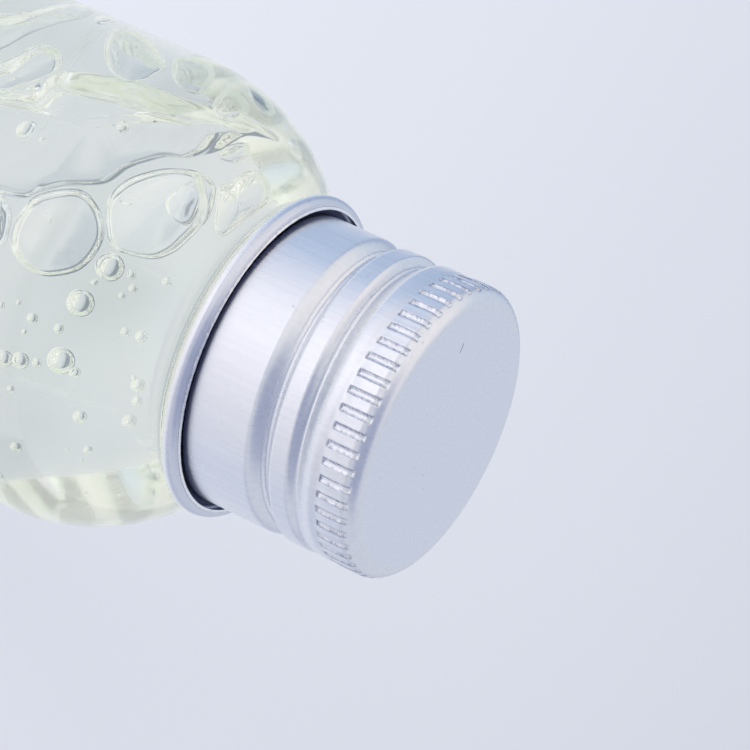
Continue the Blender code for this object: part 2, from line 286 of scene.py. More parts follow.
def scratch(n, place):
    """One short fine line, 1 where it is and 0 elsewhere."""
    off = n.add("ShaderNodeVectorMath", {0: place, 1: SCRATCH_PLACE}, operation="SUBTRACT").outputs[0]
    along = n.math("ABSOLUTE", n.dot(off, SCRATCH_ALONG))
    beside = n.math("ABSOLUTE", n.dot(off, SCRATCH_ACROSS))
    return n.times(n.span(along, *SCRATCH_ENDS, 1.0, 0.0), n.span(beside, *SCRATCH_SIDES, 1.0, 0.0))


def aluminium():
    """Satin aluminium, drawn along the skirt, with dark lines and painted highlight lines in the thread.
    Painted shade lies in the crevices, on the slots' walls and on the curl, and painted highlights on the
    slots' floors and the curl's edges.
    """
    material, n, shader = new_material("satin_aluminium")
    place, flat = n.place(), n.mark("flat_top")
    streaks = n.noise(place, (2600.0, 2600.0, 90.0), 3.0, 0.6)
    grain = n.noise(place, (3200.0, 3200.0, 3200.0), 2.0, 0.6)
    clouds = n.noise(place, (160.0, 160.0, 160.0), 3.0, 0.5)
    jagged = n.noise(place, (2200.0, 2200.0, 1200.0), 3.0, 0.7)
    fine = n.add("ShaderNodeMix", {0: flat, 2: streaks, 3: grain}).outputs[0]
    colour = n.mix(n.span(fine, 0.3, 0.7), METAL_LOW, METAL_HIGH)
    # A painted reflection: the flat top is tinted bluer
    colour = n.mix(n.times(flat, 0.35), colour, TOP_REFLECTION_TINT)

    # Dark lines and painted highlight lines along the thread, rare dark specks, and one fine scratch on the
    # top
    dark_lines, highlight_lines = groove_lines(n, jagged)
    colour = n.mix(n.times(dark_lines, 0.55), colour, DARK_LINE)
    colour = n.mix(highlight_lines, colour, WHITE)
    specks = n.add("ShaderNodeTexVoronoi", {"Vector": place, "Scale": 620.0}).outputs["Distance"]
    rare = n.noise(place, (700.0, 700.0, 700.0), 0.0)
    speck = n.times(n.span(specks, 0.05, 0.11, 1.0, 0.0), n.span(rare, 0.60, 0.64))
    colour = n.mix(n.times(speck, 0.5), colour, SPECK)
    colour = n.mix(n.times(scratch(n, place), flat), colour, SCRATCH)

    # Painted highlight on the slots' floors and painted shade on their walls, painted shade inside the curl
    # and on the skirt beside it, and the curl's painted highlight and shade bands and the painted highlight
    # on its cut edge
    slot_floor = n.mark("slot_floor")
    # Painted highlight on the slots' floors and painted shade along their walls
    colour = n.mix(slot_floor, colour, SLOT_FLOOR_HIGHLIGHT)
    slot_wall_shade = n.times(n.mark("slot_wall_shade"), n.span(jagged, 0.25, 0.55, 0.35, 1.0))
    colour = n.mix(slot_wall_shade, colour, SLOT_WALL_SHADE)
    # Painted shade in the curl's trough and on the skirt by the curl, near black in a thin line where the
    # skirt meets it
    crevice_shade = n.math("ADD", n.mark("crevice_shade"), n.span(jagged, 0.3, 0.7, -0.04, 0.04))
    colour = n.mix(n.span(crevice_shade, 0.0, 0.75), colour, CREVICE_SHADE)
    colour = n.mix(n.span(crevice_shade, 0.86, 0.97), colour, CREVICE_SHADE_DEEP)
    # Painted highlight and painted shade bands on the curl, and a painted highlight on its cut edge
    shade = n.mark("curl_shade")
    colour = n.mix(n.span(shade, 0.0, 1.0), colour, WHITE)
    colour = n.mix(n.span(shade, 0.0, -1.0, 0.0, 0.4), colour, RIM_SHADE)
    n.link(n.mix(n.mark("cut_edge_highlight"), colour, WHITE), shader.inputs["Base Color"])

    roughness = n.math("ADD", n.span(fine, 0.3, 0.7, 0.27, 0.33), n.span(clouds, 0.3, 0.7, -0.02, 0.02))
    n.link(roughness, shader.inputs["Roughness"])
    n.link(1.0, shader.inputs["Metallic"])
    relief = n.math("SUBTRACT", n.times(fine, 0.12), dark_lines)
    chatter = n.times(n.times(jagged, slot_floor), 1.2)
    n.link(n.bump(n.math("ADD", relief, chatter), 0.6, 0.00003), shader.inputs["Normal"])
    return material


def clear(name, waves, ends, colours, roughness, ior, bump):
    """A clear material whose colour, roughness and relief drift with slow waves."""
    material, n, shader = new_material(name)
    drift = n.noise(n.place(), *waves)
    n.link(n.mix(n.span(drift, *ends), *colours), shader.inputs["Base Color"])
    n.link(n.span(drift, 0.3, 0.7, 0.0, roughness), shader.inputs["Roughness"])
    n.link(1.0, shader.inputs["Transmission Weight"])
    n.link(ior, shader.inputs["IOR"])
    n.link(n.bump(drift, *bump), shader.inputs["Normal"])
    return material, n


def clear_pet():
    """The blown wall, with the slow waves that blowing leaves."""
    waves = (60.0, 60.0, 30.0), 2.0, 0.5
    colours = (0.997, 0.999, 0.998), (1.0, 1.0, 1.0)
    return clear("clear_pet", waves, (0.3, 0.7), colours, 0.02, 1.57, (0.25, 0.00006))[0]


def toner_gel():
    """Clear gel whose pale yellow-green grows with its depth."""
    waves = (40.0, 40.0, 25.0), 3.0, 0.5, 0.6
    colours = (0.997, 0.999, 0.995), (1.0, 1.0, 0.999)
    material, n = clear("toner_gel", waves, (0.35, 0.65), colours, 0.01, 1.38, (0.15, 0.00008))
    tint = n.add("ShaderNodeVolumeAbsorption", {"Color": (0.90, 0.94, 0.45), "Density": 1.0})
    n.link(tint.outputs[0], n.tree.nodes["Material Output"].inputs["Volume"])
    return material


def moulded(name, low, high, roughness, scale, depth):
    """A matt material with a fine grain between two colours."""
    material, n, shader = new_material(name)
    grain = n.noise(n.place(), scale, 4.0, 0.6)
    n.link(n.mix(n.span(grain, 0.3, 0.7), low, high), shader.inputs["Base Color"])
    n.link(n.span(grain, 0.3, 0.7, roughness - 0.05, roughness + 0.05), shader.inputs["Roughness"])
    n.link(n.bump(grain, 0.4, depth), shader.inputs["Normal"])
    return material


def natural_ldpe():
    """Milky moulded plastic, for the plug."""
    return moulded("natural_ldpe", (0.90, 0.91, 0.92), (0.95, 0.96, 0.96), 0.45, 900.0, 0.00001)


def white_foam():
    """Closed-cell foam, for the wad."""
    return moulded("white_foam", (0.84, 0.84, 0.82), (0.93, 0.93, 0.92), 0.85, 2500.0, 0.00004)


# Cap shell. Each row of its profile is of one kind.

CURL, SKIRT, BAND, TOP = 0, 1, 2, 3

# The curl starts at its lip on top and runs outwards and under to the skirt at -180 degrees.
# Towards the lip its sheet is thinner, and the lip itself is sheared a little unevenly.
CURL_LIP, CURL_JOIN, CURL_SEGMENTS = 94.0, -180.0, 60
THIN_FROM, THIN = 60.0, 0.7
LIP, LIP_VARIES, SHEAR = 0.05, 0.03, (82.0, 3.0)

# Where marks begin and how far they take to be full: on the curl in degrees, on the skirt in height. They
# paint a highlight on the cut edge and the rim, a shaded band on the curl, and shade in the curl's trough and
# on the skirt beside the curl
CUT_HIGHLIGHT, RIM_HIGHLIGHT, RIM_SHADE_LOW, RIM_SHADE_HIGH = (75.0, 4.0), (2.0, -16.0), (2.0, 10.0), (76.0, -6.0)
DARK_CURL, DARK_SKIRT = (50.0, -40.0), (92.50, -0.60)

# How dark the painted shade in the curl's trough is by the lip, and how much darker deeper in
TROUGH_SHADE, TROUGH_SHADE_MORE = 0.30, 0.40

# The groove's depth and its ends in degrees of winding. Its place and its reach below and above
# its bottom are in pitches: first on the lower turn, then the change to the upper one.
GROOVE, GROOVE_LEAD_IN, GROOVE_END, GROOVE_LEAD_OUT = 0.95, 50.0, 395.0, 160.0
UPPER_FROM, UPPER_OVER, GROOVE_FULLNESS = 20.0, 160.0, 0.85
GROOVE_SHIFT, GROOVE_BELOW, GROOVE_ABOVE = (0.085, -0.045), (0.54, -0.30), (0.27, 0.23)

# Columns of one knurl and the slot's walls, in shares of a knurl's width from the slot's middle
COLUMNS = (-0.50, -0.36, -0.25, -0.205, -0.175, -0.035, 0.035, 0.175, 0.205, 0.25, 0.36)
SLOT_EDGE, SLOT_SLOPE, BURR_PLACE, BURR_WIDTH = 0.205, 0.17, 0.25, 0.04
# The painted shade line along a slot's walls: its place and width, the reach of the foot's line across the
# slot, and its strength on the far wall
WALL_PLACE, WALL_WIDTH, WALL_REACH, FAR_WALL = 0.20, 0.025, 0.23, 0.8

# The painted shade line at a slot's foot, in shares of the ramp there
FOOT_PLACE, FOOT_WIDTH = 0.4, 0.4

# The slots' ends: the low one a height, the upper one in degrees round the corner
KNURL_LOW, LOW_RAMP, KNURL_SWEEP, SWEEP_RAMP = 104.89, 0.12, 31.0, 5.0
SLOT_DEPTH, BURR, DISH, DISH_REACH = 0.25, 0.022, 0.06, 0.5
DEPTH_VARIES, WALL_VARIES, FLOOR_VARIES, LOW_VARIES, SWEEP_VARIES = 0.16, 0.036, 0.12, 0.12, 3.0
LOW_FROM, SWEEP_FROM, BAND_LOW = KNURL_LOW - 0.08, KNURL_SWEEP - 1.0, KNURL_LOW - 0.10

# Heights between which the skirt's rows change their spacing, and radii of the top's rows
NEAR_CURL, PLAIN_LOW, PLAIN_TOP, THREADED_LOW = 92.8, 92.9, 96.0, 96.12
TOP_ROWS = (11.2, 10.9, 10.0, 8.6, 7.0, 5.4, 3.8, 2.3, 1.0, 0.35)


def groove(angles, height):
    """Depth of the rolled thread and the place across its groove, in pitches above the bottom.

    The land between two turns has steep sides; the sides towards the plain skirt are gentle.
    """
    def changed(lower, change):
        return lower + change * upper

    bottom = RIM - THREAD_DROP - PITCH * (THREAD_TOP_ANGLE - angles) / 360.0 - PITCH / 2
    turns_up = (height - bottom) / PITCH
    depth, place = np.zeros_like(turns_up), np.full_like(turns_up, -1.0)
    for turn in (-1, 0, 1, 2):
        winding = angles + 360.0 * turn + np.zeros_like(turns_up)
        lead = ramp(winding, THREAD_START, GROOVE_LEAD_IN) * ramp(winding, GROOVE_END, -GROOVE_LEAD_OUT)
        upper = ramp(winding, UPPER_FROM, UPPER_OVER)
        across = turns_up - turn - changed(*GROOVE_SHIFT)
        share = np.where(across < 0, -across / changed(*GROOVE_BELOW), across / changed(*GROOVE_ABOVE))
        here = GROOVE * lead * (1.0 - smooth(np.clip(share, 0, 1) ** GROOVE_FULLNESS))
        place = np.where(here > depth, across, place)
        depth = np.maximum(depth, here)
    return depth, place


def cap_profile():
    """Rows (radius, height, kind, angle round the curl) from the curl's lip to near the top's middle.

    The rows lie close where the curl's shadow, the thread and the slots need them.
    """
    curl = arc(SKIRT_R + CURL_R, CURL_Z, CURL_R, CURL_LIP, CURL_JOIN, CURL_SEGMENTS)
    curl_turn = np.linspace(CURL_LIP, CURL_JOIN, CURL_SEGMENTS + 1)
    by_the_curl = np.arange(CURL_Z + 0.1, NEAR_CURL, 0.09)
    plain = np.linspace(PLAIN_LOW, PLAIN_TOP, 18)
    threaded = np.arange(THREADED_LOW, BAND_LOW - 0.05, 0.11)
    skirt_z = np.concatenate((by_the_curl, plain, threaded))
    slot_foot = BAND_LOW, KNURL_LOW, KNURL_LOW + 0.08, KNURL_LOW + 0.16
    band_z = np.concatenate((slot_foot, np.linspace(KNURL_LOW + 0.3, CORNER_Z - 0.12, 11)))
    corner = arc(SKIRT_R - CORNER_R, CORNER_Z, CORNER_R, 0.0, 90.0, 30)
    rows = [(r, z, CURL, turn) for (r, z), turn in zip(curl, curl_turn)]
    rows += [(SKIRT_R, z, SKIRT, 0) for z in skirt_z]
    rows += [(SKIRT_R, z, BAND, 0) for z in band_z]
    rows += [(r, z, BAND, 0) for r, z in corner]
    rows += [(r, CORNER_Z + CORNER_R, TOP, 0) for r in TOP_ROWS]
    return np.array(rows)


def column(condition):
    """A row property as a column, to spread over a grid's columns."""
    return np.asarray(condition)[:, None]


def slots(rng, share, row_r, row_z, kind):
    """Slots pressed into the band and a little way up the corner, V shaped, with slightly ragged walls.

    Returns how deep they go and their low burr, the mark of their floors, which gets a painted highlight, the
    painted shade lines along their walls and feet, and the way the corner leans, in radians.
    """
    number = np.arange(len(share)) // len(COLUMNS)
    vary = 1.0 + DEPTH_VARIES * (rng.random(KNURLS) - 0.5)
    ragged = WALL_VARIES * (rng.random(row_z.shape) - 0.5)
    beside = np.abs(share)[None, :] + ragged
    across = np.clip((SLOT_EDGE - beside) / SLOT_SLOPE, 0.0, 1.0)
    across = across * (1.0 - FLOOR_VARIES * rng.random(row_z.shape))
    rise = np.degrees(np.arctan2(row_z - CORNER_Z, row_r - (SKIRT_R - CORNER_R)))
    rise = np.where(row_z > CORNER_Z, rise, 0.0)
    low_end = LOW_FROM + LOW_VARIES * rng.random(KNURLS)[number]
    start = ramp(row_z, low_end, LOW_RAMP)
    upper_end = SWEEP_FROM + SWEEP_VARIES * rng.random(KNURLS)[number]
    end = ramp(rise, upper_end, -SWEEP_RAMP)
    band = column(kind == BAND) * start * end
    pressed = SLOT_DEPTH * across * vary[number][None, :] * band
    burr = BURR * hump(beside - BURR_PLACE, BURR_WIDTH) * band
    # Painted shade lines along both walls, weaker on the far one, and across the foot
    edge = hump(beside - WALL_PLACE, WALL_WIDTH) * np.where(share < 0, 1.0, FAR_WALL)[None, :]
    foot = hump(start - FOOT_PLACE, FOOT_WIDTH) * (start > 0) * (beside < WALL_REACH)
    wall = np.clip(np.maximum(edge, foot), 0.0, 1.0) * column(kind == BAND) * end * (start > 0)
    return pressed, burr, across * band, wall, np.radians(rise)


def curl_marks(kind, curl_turn, row_z):
    """For each row: painted shade in the curl's trough and on the skirt beside the curl, the curl's painted
    highlight and painted shade bands, and the painted highlight on its cut edge.
    """
    skirt = (kind == SKIRT) * ramp(row_z, *DARK_SKIRT)
    trough = (kind == CURL) * (TROUGH_SHADE + TROUGH_SHADE_MORE * ramp(curl_turn, *DARK_CURL))
    shaded_band = ramp(curl_turn, *RIM_SHADE_LOW) * ramp(curl_turn, *RIM_SHADE_HIGH)
    shade = (ramp(curl_turn, *RIM_HIGHLIGHT) - shaded_band) * (kind == CURL)
    return trough + skirt, shade, ramp(curl_turn, *CUT_HIGHLIGHT) * (kind == CURL)


def sheet_faces(rows, count):
    """Faces of the outer and the inner side, the middle of the top and the edge between the sides."""
    shift, last = rows * count, (rows - 1) * count
    faces = grid_faces(rows, count)
    faces += [[v + shift for v in reversed(face)] for face in grid_faces(rows, count)]
    faces.append([last + c for c in range(count)])
    faces.append([shift + last + c for c in reversed(range(count))])
    for c in range(count):
        after = (c + 1) % count
        faces.append([after, c, shift + c, shift + after])
    return faces


def cap_shell(material):
    """One drawn sheet: curl, skirt, rolled thread, knurled band, corner and top."""
    rng = np.random.default_rng(7)
    angles = KNURL_ANGLE + (np.arange(KNURLS)[:, None] + np.array(COLUMNS)[None, :]) * 360.0 / KNURLS
    angles, share = angles.ravel(), np.tile(COLUMNS, KNURLS)
    profile = cap_profile()
    kind, curl_turn = profile[:, 2], profile[:, 3]
    rows, count = len(profile), len(angles)
    row_r, row_z = (np.repeat(profile[:, axis:axis + 1], count, axis=1) for axis in (0, 1))
    depth, place = groove(angles[None, :], row_z)
    depth = np.where(column(kind == SKIRT), depth, 0.0)
    pressed, burr, slot_floor, slot_wall_shade, tilt = slots(rng, share, row_r, row_z, kind)

    # The wall dips a little towards the slots, and the curl ends in a fine sheared lip
    dish = DISH * hump(row_z - KNURL_LOW, DISH_REACH) * column(kind > CURL) * column(kind < TOP)
    shear = ramp(column(curl_turn), *SHEAR) * column(kind == CURL)
    lip = shear * (LIP + LIP_VARIES * rng.random(count)[None, :])
    total = depth + pressed - burr + dish
    outer = spin(row_r - total * np.cos(tilt), row_z - total * np.sin(tilt) + lip, angles)

    # The inner side lies one sheet thickness behind the outer one, and has no slots
    along = np.roll(outer, -1, axis=1) - np.roll(outer, 1, axis=1)
    normal = np.cross(along, np.gradient(outer, axis=0))
    normal /= np.linalg.norm(normal, axis=2, keepdims=True)
    thickness = SHEET * MM * np.where((kind == CURL) & (curl_turn > THIN_FROM), THIN, 1.0)
    even = depth + dish
    flat = spin(row_r - even * np.cos(tilt), row_z - even * np.sin(tilt), angles)
    behind = np.where(column(kind == BAND)[:, :, None], flat, outer)
    inner = behind - thickness[:, None, None] * normal
    verts = np.concatenate((outer.reshape(-1, 3), inner.reshape(-1, 3)))

    # Marks for the material, as pairs of outer and inner values
    crevice_shade, shade, cut = curl_marks(kind, curl_turn, profile[:, 1])
    nothing, ones = np.zeros_like(row_z), np.ones((1, count))
    marks = {
        "flat_top": (column(kind == TOP) * ones, nothing),
        "across_groove": (place, place),
        "groove_depth": (depth / GROOVE, nothing),
        "slot_wall_shade": (slot_wall_shade, nothing),
        "slot_floor": (slot_floor, nothing),
        "crevice_shade": (column(crevice_shade) * ones, nothing),
        "curl_shade": (nothing, column(shade) * ones),
        "cut_edge_highlight": (shear * ones, column(cut) * ones),
    }
    marks = {key: np.concatenate([side.ravel() for side in sides]) for key, sides in marks.items()}
    add_mesh("cap_shell_sheet", verts, sheet_faces(rows, count), material, "cap", "cap_shell",
             marks)


# Bottle

NECK_LOW, NECK_PLAIN, NECK_THREAD, NECK_TOP = RING_TOP + 0.25, 96.6, 96.8, 104.9
LIP_OUT, LIP_IN, BORE_FILLET = 0.3, 0.15, 1.0
WALL_TOP, WALL_LOW, WALL_ROWS = SHOULDER_Z - 2.0, 6.0, 24
BORE_ROWS_TOP, BORE_ROWS_LOW = RIM - 1.0, CEILING + 1.6
BOTTLE_COLUMNS, PLUG_COLUMNS = 240, 128


def push_up(lift=0.0):
    """The dome under the base, from the axis to the foot."""
    sphere = (FOOT_IN ** 2 + PUSH_UP ** 2) / (2 * PUSH_UP)
    half = math.degrees(math.asin(FOOT_IN / sphere))
    return arc(0.0, PUSH_UP + lift - sphere, sphere, 90.0, 90.0 - half, 16)


def outer_profile():
    """The outside from the middle of the base up to the neck's foot."""
    seat = math.degrees(math.asin((RING_UNDER - SHOULDER_Z) / SHOULDER_R))
    wall = np.column_stack((np.full(WALL_ROWS, BODY_R), np.linspace(WALL_LOW, WALL_TOP, WALL_ROWS)))
    ring = ((RING_R + 0.03, RING_UNDER + 0.03), (RING_R + 0.03, RING_TOP - 0.06), (RING_R - 0.03, RING_TOP),
            (NECK_R + 0.25, RING_TOP), (NECK_R + 0.07, RING_TOP + 0.07))
    return np.vstack((push_up(), arc(BODY_R - HEEL_R, HEEL_R, HEEL_R, -90.0, 0.0, 16), wall,
                      arc(BODY_R - SHOULDER_R, SHOULDER_Z, SHOULDER_R, 0.0, seat, 36), ring))


def inner_profile(gap=0.0):
    """The inside from the bore down to the middle of the base, drawn in by a gap."""
    wall = BODY_WALL + gap
    shoulder = SHOULDER_R - wall
    meet = math.degrees(math.asin((CEILING - gap - SHOULDER_Z) / shoulder))
    fillet = BORE_FILLET
    upright = np.column_stack((np.full(WALL_ROWS, BODY_R - wall), np.linspace(WALL_TOP, WALL_LOW, WALL_ROWS)))
    return np.vstack((arc(BORE_R - gap + fillet, CEILING - gap + fillet, fillet, 180.0, 270.0, 10),
                      arc(BODY_R - SHOULDER_R, SHOULDER_Z, shoulder, meet, 0.0, 36), upright,
                      arc(BODY_R - HEEL_R, HEEL_R, HEEL_R - wall, 0.0, -90.0, 16), push_up(wall)[::-1]))


def bottle(material):
    """The clear wall, with its helical thread on the neck."""
    angles = np.arange(BOTTLE_COLUMNS) * 360.0 / BOTTLE_COLUMNS
    outer = outer_profile()
    neck_z = np.concatenate((np.linspace(NECK_LOW, NECK_PLAIN, 10), np.arange(NECK_THREAD, NECK_TOP, 0.14)))
    neck = np.column_stack((np.full(len(neck_z), NECK_R), neck_z))
    lip = np.vstack((arc(NECK_R - LIP_OUT, RIM - LIP_OUT, LIP_OUT, 0.0, 90.0, 6),
                     arc(BORE_R + LIP_IN, RIM - LIP_IN, LIP_IN, 90.0, 180.0, 4)))
    bore = np.column_stack((np.full(10, BORE_R), np.linspace(BORE_ROWS_TOP, BORE_ROWS_LOW, 10)))
    profile = np.vstack((outer, neck, lip, bore, inner_profile()))
    profile[:, 0] = np.maximum(profile[:, 0], 0.0)

    # The thread stands out of the neck's own rows, which the first row on the axis comes before
    thread_z = RIM - THREAD_DROP - PITCH * (THREAD_TOP_ANGLE - angles) / 360.0
    turns_up = (profile[1:-1, 1:] - thread_z[None, :]) / PITCH
    nearest = np.round(turns_up)
    winding = angles[None, :] + 360.0 * nearest
    full = ramp(winding, THREAD_START, THREAD_TAPER) * ramp(winding, THREAD_TOP_ANGLE, -THREAD_TAPER)
    off = np.abs(turns_up - nearest) * PITCH
    thread = THREAD_H * full * ramp(off, THREAD_HALF, -THREAD_FLANK)
    on_neck = np.zeros((len(profile) - 2, 1))
    on_neck[len(outer) - 1:len(outer) - 1 + len(neck)] = 1.0
    verts, faces = turned_mesh(profile, BOTTLE_COLUMNS, thread * on_neck)
    add_mesh("bottle_wall", verts, faces, material, "bottle", "bottle")


# Gel and its bubbles

GEL_TOP, GEL_OVERLAP = 91.2, 0.05

# Bubbles are placed in degrees round the bottle, of ARC millimetres each, and in height. The
# flat ones reach into the gel away from the viewer, and each face of one has these rows.
BUBBLE_WALL_R = 19.0
ARC = math.radians(1.0) * BUBBLE_WALL_R
AWAY = np.array((0.0, 0.91465, -0.40424))
FACE_ROWS = (0.12, 0.35, 0.6, 0.82)

# Round bubbles: the gel between them and the wall, and the radius from which they need finer faces
ROUND_FILM, FINE_FROM = 0.15, 0.35

# Those placed by seed: their ranges of angle, height and radius, in the body and behind the shoulder
BODY_BUBBLES, ALL_BUBBLES, BUBBLE_SPACE = 96, 110, 0.4
BODY_ANGLES, BODY_HEIGHTS, BODY_SMALLEST, BODY_MORE = (-180.0, 180.0), (9.0, 62.0), 0.25, 1.3
BACK_ANGLES, BACK_HEIGHTS, BACK_RADII = (20.0, 160.0), (66.0, 84.0), (0.25, 0.5)


def closed_curve(points, count):
    """A smooth closed curve through a few points."""
    points = np.asarray(points, float)
    total = len(points)
    out = []
    for step in range(count):
        t = step * total / count
        i = int(t)
        f = t - i
        a, b, c, d = (points[(i + k) % total] for k in (-1, 0, 1, 2))
        square, cube = 2 * a - 5 * b + 4 * c - d, 3 * b - a - 3 * c + d
        out.append(0.5 * ((2 * b) + (c - a) * f + square * f * f + cube * f ** 3))
    return np.array(out)


def wall_radius(z, depth):
    """Radius at a depth under the bottle's inner wall."""
    z = np.asarray(z, float)
    r = SHOULDER_R - BODY_WALL - depth
    up = np.clip(z - SHOULDER_Z, 0.0, r)
    shoulder = BODY_R - SHOULDER_R + np.sqrt(np.maximum(r * r - up * up, 0.0))
    return np.where(z <= SHOULDER_Z, BODY_R - BODY_WALL - depth, shoulder)


def on_wall(flat, depth):
    """Points under the inner wall, along its own normal, from flat (arc, height) pairs."""
    angle = np.radians(flat[:, 0] / ARC)
    lift = np.clip(flat[:, 1] - SHOULDER_Z, 0.0, SHOULDER_R - BODY_WALL - 0.3)
    tilt = np.arcsin(lift / (SHOULDER_R - BODY_WALL))
    radius = wall_radius(flat[:, 1], 0.0) - depth * np.cos(tilt)
    height = flat[:, 1] - depth * np.sin(tilt)
    return np.column_stack((radius * np.cos(angle), radius * np.sin(angle), height))


def facing_in(verts, faces):
    """Turn a closed shape's faces so that their normals point into it, as a hole in the gel needs."""
    volume = 0.0
    for face in faces:
        a, b, c = verts[face[0]], verts[face[1]], verts[face[2]]
        volume += np.dot(a, np.cross(b, c))
        if len(face) == 4:
            volume += np.dot(a, np.cross(c, verts[face[3]]))
    return verts, [face[::-1] for face in faces] if volume > 0 else faces


def flat_bubble(outline, film, thick, edge, bulge=0.0, flare=0.0, grow=0.0, start=0.0, sides=96):
    """A bubble pressed flat against the wall behind a film of gel, drawn out away from the viewer.

    The outline is in degrees round the bottle and millimetres up it. Edge is the radius of the
    bubble's rim and bulge the depth of its rounded back. Flare widens the back to one side, grow
    widens the whole outline, and start moves the bubble deeper.
    """
    curve = closed_curve(outline, sides)
    flat = np.column_stack((curve[:, 0] * ARC, curve[:, 1]))
    centre = flat.mean(axis=0)
    inward = centre - flat
    reach = np.linalg.norm(inward, axis=1)
    inward = inward / reach[:, None]
    flat = flat - inward * grow
    edge = min(edge, 0.8 * reach.min())
    wider = smooth(-(flat[:, 0] - centre[0]) / (0.6 * np.ptp(flat[:, 0]))) * flare
    rings = []
    for share in FACE_ROWS:
        rings.append(on_wall(centre - inward * ((reach - edge) * share)[:, None], film))
    for turn in np.radians(np.linspace(90.0, -90.0, 17)):
        back = (1.0 - math.sin(turn)) / 2
        drawn_in = edge * (1.0 - math.cos(turn)) - wider * smooth((back - 0.5) / 0.3)
        rings.append(on_wall(flat + inward * drawn_in[:, None], film) + AWAY * thick * back)
    for share in FACE_ROWS[::-1]:
        ring = on_wall(centre - inward * ((reach - edge + wider) * share)[:, None], film)
        rings.append(ring + AWAY * (thick + bulge * (1.0 - share ** 2)))
    middle = on_wall(centre[None, :], film)
    verts = (np.vstack(rings + [middle, middle + AWAY * (thick + bulge)]) + AWAY * start) * MM
    faces = grid_faces(len(rings), sides)
    close_ends(faces, len(rings), sides, len(rings) * sides, len(rings) * sides + 1)
    return facing_in(verts, faces)


def round_bubble(angle, height, radius):
    """A round bubble just under the inner wall."""
    turn, r = math.radians(angle), float(wall_radius(height, radius + ROUND_FILM))
    ball = bmesh.new()
    bmesh.ops.create_icosphere(ball, subdivisions=3 if radius > FINE_FROM else 2, radius=radius)
    verts = np.array([vert.co for vert in ball.verts]) * MM
    faces = [[vert.index for vert in face.verts] for face in ball.faces]
    ball.free()
    verts, faces = facing_in(verts, faces)
    return verts + np.array((r * math.cos(turn), r * math.sin(turn), height)) * MM, faces


POCKET = ((-120.9, 69.8), (-127.2, 70.8), (-130.6, 71.8), (-133.5, 74.9), (-138.4, 79.9), (-143.5, 82.1),
          (-152.1, 84.2), (-153.6, 84.6), (-149.4, 84.2), (-144.6, 83.8), (-140.4, 83.9), (-135.9, 84.1),
          (-130.9, 83.8), (-126.4, 82.7), (-122.0, 81.9), (-117.3, 81.1), (-110.7, 80.3), (-105.4, 77.7),
          (-101.8, 76.3), (-98.9, 75.1), (-97.0, 71.0), (-94.0, 62.0), (-96.0, 54.0), (-104.0, 52.0),
          (-113.0, 60.0))
BUBBLE_A = ((-106.1, 78.5), (-101.3, 76.4), (-96.6, 75.9), (-92.4, 75.9), (-88.4, 76.5), (-85.8, 78.0),
            (-85.5, 79.5), (-87.3, 80.8), (-90.4, 81.9), (-95.1, 82.4), (-100.1, 82.3), (-104.3, 81.4),
            (-106.8, 79.9))
BUBBLE_B = ((-124.9, 83.4), (-120.0, 82.4), (-115.0, 81.6), (-110.3, 81.3), (-106.5, 81.5), (-102.4, 82.3),
            (-99.4, 83.1), (-99.1, 84.3), (-101.6, 85.9), (-106.4, 86.7), (-112.3, 87.0), (-118.6, 87.1),
            (-124.7, 86.6), (-129.4, 85.2), (-128.8, 84.5))
RING_B = ((-116.7, 84.3), (-120.8, 84.2), (-126.8, 84.8), (-127.9, 85.8), (-124.4, 86.4), (-119.1, 86.8),
          (-114.3, 86.6), (-113.7, 85.4))
BUBBLE_C = ((-131.5, 86.4), (-136.8, 86.6), (-143.7, 86.6), (-149.7, 87.1), (-150.4, 88.0), (-147.0, 88.7),
            (-139.0, 88.8), (-129.3, 88.7), (-122.0, 88.5), (-121.5, 87.9), (-125.5, 87.2))
BUBBLE_E = ((-139.4, 84.9), (-143.3, 84.7), (-149.0, 84.9), (-151.6, 85.3), (-149.0, 85.9), (-143.3, 85.9),
            (-140.0, 85.4))
BUBBLE_L = ((-98.0, 73.5), (-97.2, 74.3), (-95.1, 75.2), (-91.9, 75.7), (-88.8, 75.8), (-86.6, 75.0),
            (-86.0, 73.0), (-89.0, 71.8), (-94.0, 71.8))
BUBBLE_G1 = ((-147.3, 71.3), (-153.7, 70.0), (-160.1, 69.3), (-163.5, 70.6), (-159.5, 73.4), (-152.3, 76.4),
             (-147.4, 76.8), (-142.2, 76.7), (-139.2, 75.9), (-139.6, 74.3), (-142.3, 72.9))
BUBBLE_G2 = ((-153.0, 76.7), (-158.4, 75.8), (-163.2, 76.2), (-165.7, 77.2), (-163.6, 78.5), (-158.3, 79.6),
             (-152.5, 80.2), (-149.0, 80.1), (-147.5, 79.0), (-149.0, 77.8))
BUBBLE_G3 = ((-149.8, 81.7), (-154.8, 81.0), (-161.2, 80.6), (-163.2, 81.4), (-161.8, 82.8), (-154.7, 83.6),
             (-150.3, 83.3), (-148.2, 82.6))
BUBBLE_G4 = ((-173.8, 79.8), (-177.4, 80.2), (-178.5, 81.0), (-175.9, 82.5), (-173.5, 83.2), (-167.6, 83.4),
             (-166.5, 82.4), (-168.8, 81.2))
BUBBLE_H1 = ((-125.0, 57.0), (-139.4, 62.9), (-151.4, 63.8), (-165.3, 63.9), (-171.3, 64.1), (-168.0, 65.4),
             (-156.8, 66.4), (-142.3, 65.6), (-130.5, 64.9), (-120.0, 62.0))
BUBBLE_H2 = ((-118.0, 63.4), (-128.8, 66.0), (-136.9, 66.9), (-139.4, 67.7), (-138.4, 69.4), (-132.0, 70.5),
             (-124.4, 69.2), (-117.6, 67.6), (-110.0, 63.0))
